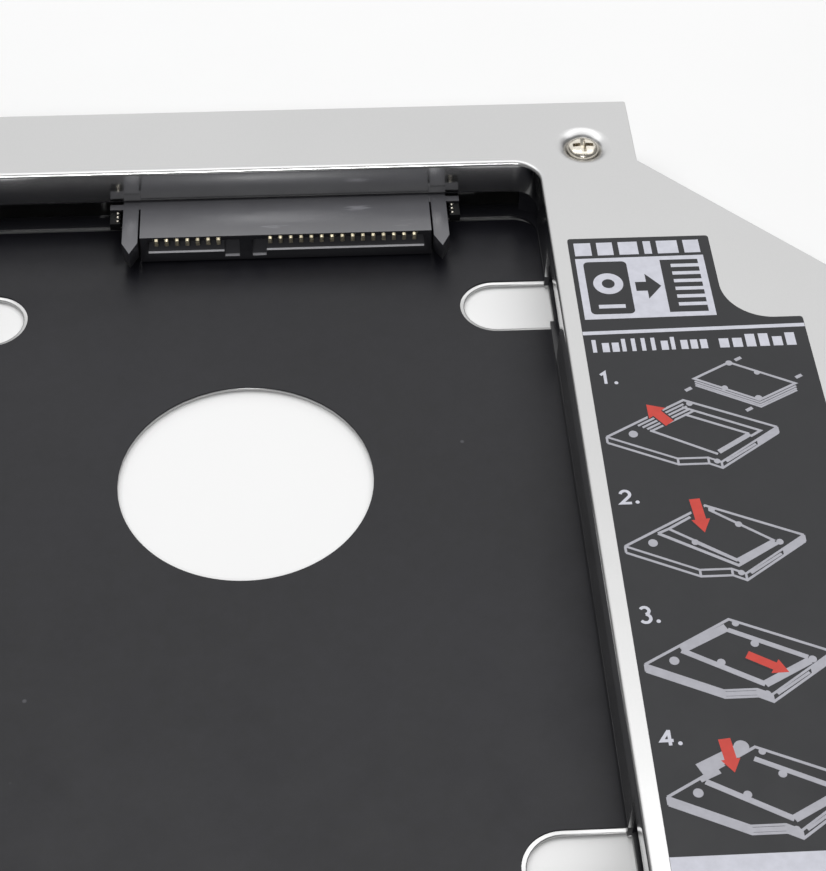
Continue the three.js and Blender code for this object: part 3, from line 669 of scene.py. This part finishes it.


# ------------------------------------------------------------------ ear dots and painted highlights on the mouth edges


def build_ear_dots():
    """Three solder dots on each of the board's two ears, beside the receptacle's guide arms."""
    low, high = extent("receptacle_housing")
    face = extent("adapter_board")[1].z
    dome = [(0, face - 0.1), (0.2, face - 0.1), (0.24, face), (0.17, face + 0.14), (0, face + 0.2)]
    bm = bmesh.new()
    for x in (low.x + EAR_DOT_INSET, high.x - EAR_DOT_INSET):
        for y in EAR_DOTS:
            lathe(bm, dome, x, y, 16)
    piece("ear_solder_dots", bm, ["nickel"], "screw_nickel", smooth_deg=60)


def build_mouth_edge_highlights():
    """Pale strips on the lower edges of the receptacle's two mouths and of the legs between them:
    painted highlights where these edges catch the light.
    """
    low, _ = extent("receptacle_housing")
    inset, sunk, proud = 0.01, 0.05, 0.02
    bm = bmesh.new()
    for x0, x1, depth, z_front, z_back in MOUTH_EDGE_HIGHLIGHTS:
        corners = ((x0, inset), (x1, inset), (x1, depth), (x0, depth))
        outline = [(low.x + x, FACE + y) for x, y in corners]
        below = ring(bm, outline, [z - sunk for z in (z_front, z_front, z_back, z_back)])
        above = ring(bm, outline, [z + proud for z in (z_front, z_front, z_back, z_back)])
        loft(bm, [below, above])
        bm.faces.new(above)
        bm.faces.new(list(reversed(below)))
    bmesh.ops.recalc_face_normals(bm, faces=bm.faces)
    piece("mouth_edge_highlights", bm, ["painted_lip_highlight"], "connector_plastic")


# ------------------------------------------------------------------ label artwork
#
# The artwork's points are in the object's own frame. Each printed shape has a height of its own, so
# that no two faces of the print share a plane.

LABEL_TOP = LABEL_HIGH.z - 0.04      # the paper's face
PRINT = 0.02                         # height of the first layer of print, before it is set back
PRINT_BACK = 0.008
PRINT_ROOT = 0.005                   # how far print reaches down into the paper
PRINT_LAYER = 0.25                   # rise of each layer over the one below, as a share of PRINT
PRINT_STEP = 0.00008                 # rise of each shape over the one before it in its layer
TILT = math.radians(0.45)            # the artwork is printed slightly askew on the label
TITLE_LEFT, HEADING_LEFT, NUMERAL_LEFT = 17.15, 17.35, 17.6
RULE_LEFT, RULE_RIGHT = 16.5, 42.1


class Artwork:
    """Flat printed shapes in the label's plane, each a thin closed body."""

    def __init__(self, level=0):
        self.bm = bmesh.new()
        self.height = LABEL_TOP + PRINT * (1 + PRINT_LAYER * level) - PRINT_BACK
        self.shapes = 0

    def levels(self):
        """Lower and upper height of the next shape."""
        self.shapes += 1
        return LABEL_TOP - PRINT_ROOT, self.height + PRINT_STEP * self.shapes

    def patch(self, points):
        """A filled shape with its points in order."""
        z0, z1 = self.levels()
        low, high = ring(self.bm, points, z0), ring(self.bm, points, z1)
        loft(self.bm, [low, high])
        self.bm.faces.new(high)
        self.bm.faces.new(list(reversed(low)))

    def bar(self, x0, x1, y0, y1, rise=0.0):
        """An upright rectangle; `rise` lifts its right end."""
        self.patch([(x0, y0), (x1, y0 + rise), (x1, y1 + rise), (x0, y1)])

    def dot(self, x, y, radius, sides=20):
        self.patch(circle(x, y, radius, sides))

    def line(self, points, width=0.3, closed=False):
        """A stroke of even width through points, with mitred turns."""
        z0, z1 = self.levels()
        points = [Vector(p) for p in points]
        count = len(points)
        posts = []
        for i, here in enumerate(points):
            before = points[i - 1] if closed or i else None
            after = points[(i + 1) % count] if closed or i < count - 1 else None
            ahead = (after - here).normalized() if after else (here - before).normalized()
            behind = (here - before).normalized() if before else ahead
            side = Vector((-behind.y - ahead.y, behind.x + ahead.x)).normalized()
            reach = side * (width / 2) / max(0.4, side.dot(Vector((-ahead.y, ahead.x))))
            posts.append(ring(self.bm, [here - reach, here + reach], z0)
                         + ring(self.bm, [here + reach, here - reach], z1))
        if closed:
            posts.append(posts[0])
        else:
            self.bm.faces.new(posts[0])
            self.bm.faces.new(posts[-1])
        for a, b in zip(posts, posts[1:]):
            for k in range(4):
                self.bm.faces.new((a[k], a[(k + 1) % 4], b[(k + 1) % 4], b[k]))

    def arrow(self, tail, tip, shaft, head, length):
        """An arrow: the widths of its shaft and head, and the head's length."""
        tail, tip = Vector(tail), Vector(tip)
        along = (tip - tail).normalized()
        side = Vector((-along.y, along.x))
        neck = tip - along * length
        corners = [
            tail - side * shaft / 2, neck - side * shaft / 2, neck - side * head / 2, tip,
            neck + side * head / 2, neck + side * shaft / 2, tail + side * shaft / 2,
        ]
        self.patch([c[:] for c in corners])

    def finish(self, name, key):
        bmesh.ops.recalc_face_normals(self.bm, faces=self.bm.faces)
        piece(name, self.bm, [key], "label", smooth_deg=20)


def shifted(points, dy):
    """Points moved along the label."""
    return [(x, y + dy) for x, y in points]


def label_outline(gap):
    """The charcoal label: a tab at the rear whose right side runs into the shoulder by a fillet."""
    low, high = LABEL_LOW, LABEL_HIGH
    tab, shoulder, fillet, corner = 33.4, 24.95, 5.6, 0.35
    x0, x1, y0, y1 = low.x + gap, high.x - 0.1 - gap, low.y + gap, high.y - gap
    tab -= gap
    shoulder -= gap
    return (
        [(x0, y0), (x1, y0)]
        + arc(x1 - corner, shoulder - corner, corner, 0, 90, 4)
        + arc(tab + fillet, shoulder + fillet, fillet, 270, 180, 24)
        + arc(tab - corner, y1 - corner, corner, 0, 90, 4)
        + arc(x0 + corner, y1 - corner, corner, 90, 180, 4)
    )


def build_label_paper():
    """The label's paper, its top edge lightly rounded."""
    rows = ((0.03, LABEL_TOP), (0, LABEL_TOP - 0.02), (0, LABEL_LOW.z))
    sections = [(label_outline(gap), z) for gap, z in rows]
    sheet_piece("label_paper", [sections], ["label", "label"], "label", ["instruction_label"])


def title_art(pale):
    """A row of blocks where a heading would be, a framed picture and a rule below them."""
    foot, head, space = 36.05, 38.25, 0.69
    x = TITLE_LEFT
    for width in (2.0, 1.9, 2.3, 0.9, 2.5, 1.9):
        rise = (x - TITLE_LEFT) * TILT
        pale.bar(x, x + width, foot + rise, head + rise, width * TILT)
        x += width + space
    pale.bar(17.05, 32.3, 25.35, 35.55, 0.14)
    pale.bar(RULE_LEFT, RULE_RIGHT, 22.85, 23.4, 0.38)


def picture_art(ink, pale_top, ink_top):
    """The framed picture: a drive with its spindle, an arrow and a socket with its contacts."""
    spindle = (20.45, 31.2)
    ink.patch(rounded_rectangle(17.9, 23.0, 26.15, 34.95, 0.6, 6))
    pale_top.dot(*spindle, 1.75, 40)
    pale_top.bar(18.9, 22.0, 27.1, 27.7)
    ink.bar(27.0, 31.5, 26.2, 35.0)
    for k in range(6):
        pale_top.bar(28.2, 31.5, 27.2 + 1.3 * k, 27.75 + 1.3 * k)
    ink.arrow((23.6, 30.6), (26.6, 30.6), 1.5, 4.2, 1.7)
    ink_top.dot(*spindle, 0.75, 30)


def heading_art(pale):
    """Two rows of plain blocks, l for a low one and t for a tall one."""
    base, low, tall, lean = 20.05, 1.45, 2.0, 1.5
    for start, end, shapes, narrow, wide in (
        (HEADING_LEFT, 30.8, "tllttttltlll", 0.42, 0.72), (31.85, 41.05, "llttlt", 0.72, 0.72),
    ):
        pitch = (end - start) / len(shapes)
        for i, kind in enumerate(shapes):
            x = start + pitch * i
            foot = base + (x - HEADING_LEFT) * TILT * lean
            width, height = (narrow, tall) if kind == "t" else (wide, low)
            pale.bar(x, x + pitch * width, foot, foot + height)


def numeral_art(pale):
    """The step numbers 1 to 4, each with its full stop."""
    width, stop = 0.34, 19.35
    x = NUMERAL_LEFT
    pale.line([(x + 0.1, 16.5), (x + 0.6, 16.9), (x + 0.6, 15.15)], width)
    two = arc(x + 0.55, -1.05, 0.5, 170, -35, 10) + [(x + 0.05, -2.25), (x + 1.15, -2.25)]
    pale.line(two, width)
    pale.line(arc(x + 0.5, -16.45, 0.45, 150, -80, 10), width)
    pale.line(arc(x + 0.5, -17.4, 0.52, 80, -150, 10), width)
    pale.line([(x + 0.8, -30.8), (x, -31.95), (x + 1.15, -31.95)], width)
    pale.line([(x + 0.8, -30.75), (x + 0.8, -32.5)], width)
    for y in (15.25, -2.15, -17.8, -32.3):
        pale.dot(stop, y, 0.22)


STEPS = [0.0, -15.25, -30.2, -45.35]      # offsets of the four drawings along the label


def caddy_drawing(art, dy, filled):
    """The caddy seen at a slant, drawn in line, with its near edge filled in or left open."""
    left, far, right = (17.25, 7.2), (26.4, 12.3), (36.05, 7.85)
    foot, notch, near = (24.5, 3.75), (27.8, 3.75), (29.15, 3.05)
    thick = -0.85
    top = [left, far, right]
    rim = [right, near, notch, foot, left]
    art.line(shifted(top, dy))
    art.line(shifted(rim, dy), 0.26)
    art.line(shifted(rim, dy + thick), 0.28)
    if filled:
        art.line(shifted(rim[1:], dy + thick / 2), 0.5)
    for x, y in rim:
        art.line([(x, y + dy), (x, y + dy + thick)], 0.26)
    art.line(shifted([(29.7, 3.1), (33.3, 5.5)], dy), 0.3)
    art.patch(shifted([(33.5, 5.3), (36.1, 6.95), (36.1, 7.7), (33.5, 6.05)], dy))
    art.dot(20.2, 7.5 + dy, 0.5)
    art.dot(27.0, 11.75 + dy, 0.36)
    art.dot(28.7, 3.2 + dy, 0.35)


def opening_drawing(art, dy):
    """The empty bay."""
    art.line(shifted([(22.1, 7.95), (28.95, 4.2)], dy))
    art.line(shifted([(29.1, 4.5), (32.9, 6.95)], dy), 0.6)
    art.line(shifted([(26.2, 10.15), (32.8, 7.0)], dy))
    art.line(shifted([(26.1, 11.25), (34.15, 7.4), (32.9, 6.6)], dy))


def drive_drawing(art):
    """The drive above the first caddy, with a screw at each corner."""
    left, back, right, near = (28.1, 15.5), (32.4, 17.85), (39.3, 14.3), (34.85, 11.95)
    art.line([left, back, right, near], closed=True)
    for drop in (0.4, 0.75, 1.05):
        art.line(shifted([left, near, right], -drop), 0.24)
    for x, y, radius in (
        (31.3, 13.95, 0.36), (34.8, 12.25, 0.42), (35.3, 16.15, 0.34), (32.4, 17.75, 0.4),
    ):
        art.dot(x, y, radius)
    for x, y in ((26.85, 13.7), (33.15, 18.15), (39.5, 15.15), (33.1, 10.4)):
        art.line([(x, y), (x + 0.75, y + 0.42)], 0.42)


def spacer_ribs(art):
    """Five ribs across the bay's left end in the first drawing."""
    for k in range(5):
        x, y = 20.4 + 0.47 * k, 8.95 - 0.27 * k
        art.line([(x, y), (x + 5.6 - 0.15 * k, y + 3.1 - 0.09 * k)], 0.27)


def tilted_drive(art, dy):
    """The drive going in at a slant."""
    art.line(shifted([(22.1, 9.3), (28.55, 4.9), (32.75, 7.3), (26.7, 11.7)], dy))
    art.line(shifted([(20.9, 8.75), (28.6, 4.15), (33.3, 7.0)], dy), 0.36)
    art.line(shifted([(28.7, 4.6), (32.9, 7.1)], dy), 0.6)
    art.line(shifted([(20.9, 8.75), (22.1, 9.3), (24.6, 10.8)], dy), 0.3)
    art.line(shifted([(24.6, 7.4), (28.6, 4.75)], dy), 0.3)
    for x, y in ((29.5, 9.6), (24.6, 7.4), (33.4, 7.05)):
        art.dot(x, y + dy, 0.38)


def seated_drive(art, dy, front):
    """The drive home in the bay, with or without the bar across its left end."""
    art.line(shifted([(21.1, 8.7), (28.7, 4.3)], dy), 0.62)
    art.line(shifted([(28.7, 4.3), (33.6, 6.9)], dy), 0.85)
    art.line(shifted([(26.1, 11.0), (33.5, 7.3)], dy), 0.55)
    if front:
        art.line(shifted([(21.1, 8.8), (26.0, 11.3)], dy), 0.95)
    for x, y in ((24.8, 7.1), (28.5, 9.2), (33.9, 7.05)):
        art.dot(x, y + dy, 0.42)


def retainer_drawing(art, dy):
    """The retainer and its screw, about to go in, in the last drawing."""
    art.line(shifted([(20.7, 10.05), (25.4, 12.3)], dy), 1.3)
    art.line(shifted([(20.6, 8.9), (22.6, 9.8)], dy), 0.6)
    art.dot(25.1, 12.35 + dy, 0.75)


def build_label_art():
    """Pale print with ink over it, pale over that and ink on top; the arrows have dark edges."""
    pale, ink, pale_top, ink_top = Artwork(), Artwork(1), Artwork(2), Artwork(3)
    lines, red, edge = Artwork(), Artwork(2), Artwork(1)
    title_art(pale)
    picture_art(ink, pale_top, ink_top)
    heading_art(pale)
    numeral_art(pale)
    pale.bar(RULE_LEFT, RULE_RIGHT, LABEL_LOW.y + 0.05, -44.5)
    for i, dy in enumerate(STEPS):
        caddy_drawing(lines, dy, i > 1)
    opening_drawing(lines, STEPS[0])
    spacer_ribs(lines)
    drive_drawing(lines)
    tilted_drive(lines, STEPS[1])
    seated_drive(lines, STEPS[2], True)
    seated_drive(lines, STEPS[3], False)
    retainer_drawing(lines, STEPS[3])
    grow = 0.35
    for tail, tip, shaft, head, length in (
        ((24.4, 8.9), (22.2, 11.8), 1.2, 2.5, 1.7),
        ((25.4, -2.0), (25.8, -6.6), 1.15, 2.0, 1.8),
        ((27.5, -22.3), (31.3, -24.6), 0.95, 1.9, 1.5),
        ((23.6, -32.0), (24.0, -35.8), 1.2, 1.9, 1.5),
    ):
        edge.arrow(tail, tip, shaft + grow, head + grow, length)
        red.arrow(tail, tip, shaft, head, length)
    pale.finish("label_print_pale", "print_pale")
    ink.finish("label_print_ink", "label")
    pale_top.finish("label_print_pale_top", "print_pale")
    ink_top.finish("label_print_ink_top", "label")
    lines.finish("label_drawings", "print_line")
    edge.finish("label_arrow_edges", "label")
    red.finish("label_arrows", "print_red")


# ------------------------------------------------------------------ all pieces

build_top_plate()
build_film()
build_ear_dots()
build_mouth_edge_highlights()
build_label_paper()
build_label_art()

# Pairs of screws: their ends, head height, depth of the recess, the way the head faces, and body.
for screws, ends, height, deep, way, rides in (
    ("cover_screw", ("rear", "front"), 0.9, 0.85, 1, BODY),
    ("edge_screw", ("rear", "front"), 0.6, 0.35, 1, BODY),
    ("board_screw", ("left", "right"), 0.9, 0.5, 1, BODY),
    ("bezel_screw", ("left", "right"), 0.6, 0.35, -1, BODY),
    ("retainer_screw", ("left", "right"), 0.9, 0.85, 1, "retainer"),
):
    for end in ends:
        build_screw(f"{screws}_{end}", height, deep, way, rides)

# Pieces that keep the CAD's own shape: material, slot, rounding of the edges, and body.
for cad_node, key, slot_name, bevel_mm, rides in (
    ("bottom_pan", "satin", "satin_aluminium", 0.12, BODY),
    ("inner_frame", "frame", "frame_plastic", 0.12, BODY),
    ("wing_frame", "frame", "frame_plastic", 0.12, BODY),
    ("receptacle_housing", "connector", "connector_plastic", 0.07, BODY),
    ("receptacle_signal_contacts", "gold", "gold_contacts", 0.05, BODY),
    ("receptacle_power_contacts", "gold", "gold_contacts", 0.05, BODY),
    ("slimline_plug_housing", "connector", "connector_plastic", 0.1, BODY),
    ("slimline_signal_contacts", "gold", "gold_contacts", 0.05, BODY),
    ("slimline_power_contacts", "gold", "gold_contacts", 0.05, BODY),
    ("adapter_board", "board", "board", 0.05, BODY),
    ("board_capacitor_1", "ceramic", "ceramic", 0.08, BODY),
    ("board_capacitor_2", "ceramic", "ceramic", 0.08, BODY),
    ("board_capacitor_3", "ceramic", "ceramic", 0.08, BODY),
    ("front_bezel", "bezel", "bezel_plastic", 0.25, BODY),
    ("eject_button", "bezel", "bezel_plastic", 0.2, "button"),
    ("led_lens", "lens", "lens_plastic", 0.15, BODY),
    ("retainer_block", "frame", "frame_plastic", 0.25, "retainer"),
):
    refine(cad_node, key, slot_name, bevel_mm, rides)

# ------------------------------------------------------------------ camera, light and floor

CAMERA = {
    "at": Vector((-15.013, -136.699, 169.686)) * MM,
    "elevation": 47.729, "azimuth": 4.453, "roll": 1.379, "lens": 82.6, "sensor": 36.0,
}


def add_camera():
    e, a, r = (math.radians(CAMERA[k]) for k in ("elevation", "azimuth", "roll"))
    forward = Vector((math.sin(a) * math.cos(e), math.cos(a) * math.cos(e), -math.sin(e)))
    level = Vector((math.cos(a), -math.sin(a), 0))
    above = level.cross(forward)
    right = level * math.cos(r) + above * math.sin(r)
    up = above * math.cos(r) - level * math.sin(r)
    data = bpy.data.cameras.new("camera")
    data.lens = CAMERA["lens"]
    data.sensor_width = CAMERA["sensor"]
    data.clip_start = 0.01
    camera = bpy.data.objects.new("camera", data)
    turn = Matrix((right, up, -forward)).transposed().to_4x4()
    camera.matrix_world = Matrix.Translation(CAMERA["at"]) @ turn
    bpy.context.scene.collection.objects.link(camera)
    bpy.context.scene.camera = camera


def add_softbox(name, place, size, radiance, target=(0, 0, 0)):
    """An area light that looks at a target; its power follows from its radiance and area."""
    data = bpy.data.lights.new(name, "AREA")
    data.shape = "RECTANGLE"
    data.size, data.size_y = size
    data.energy = radiance * math.pi * size[0] * size[1]
    light = bpy.data.objects.new(name, data)
    light.location = place
    light.rotation_mode = "QUATERNION"
    light.rotation_quaternion = (Vector(target) - Vector(place)).to_track_quat("-Z", "Y")
    bpy.context.scene.collection.objects.link(light)


def add_world(strength):
    world = bpy.data.worlds.new("studio")
    world.use_nodes = True
    background = world.node_tree.nodes["Background"]
    background.inputs["Color"].default_value = (1, 1, 1, 1)
    background.inputs["Strength"].default_value = strength
    bpy.context.scene.world = world


def add_floor():
    """A pale floor that gives off a little light of its own, just under the caddy."""
    half, gap = 1.5, 0.0001
    bm = bmesh.new()
    bmesh.ops.create_grid(bm, x_segments=2, y_segments=2, size=half)
    mesh = bpy.data.meshes.new("floor")
    bm.to_mesh(mesh)
    bm.free()
    floor = bpy.data.objects.new("floor", mesh)
    floor.location.z = -gap
    n = Nodes("floor_white")
    n.set(Roughness=0.9, Emission_Color=(1, 1, 1, 1), Emission_Strength=0.06)
    n.colour(n.mix(n.noise(40, 2), linear(228, 228, 228), linear(231, 231, 231)))
    mesh.materials.append(n.material)
    bpy.context.scene.collection.objects.link(floor)


# The rear box gives the sheet metal its even sheen, the overhead one lights its bends, and the
# small one in front picks out the contacts.
add_camera()
add_world(0.24)
add_softbox("rear_softbox", (-0.02, 0.61, 0.62), (1.4, 1.1), 1.15, (-0.05, 0.02, 0.01))
add_softbox("overhead_softbox", (0.0, 0.16, 0.7), (1.3, 0.46), 1.8, (0, 0.1601, 0))
add_softbox("front_key", (-0.05, -0.55, 0.5), (0.16, 0.12), 18.0)
add_floor()
bpy.context.scene.view_settings.view_transform = "Standard"
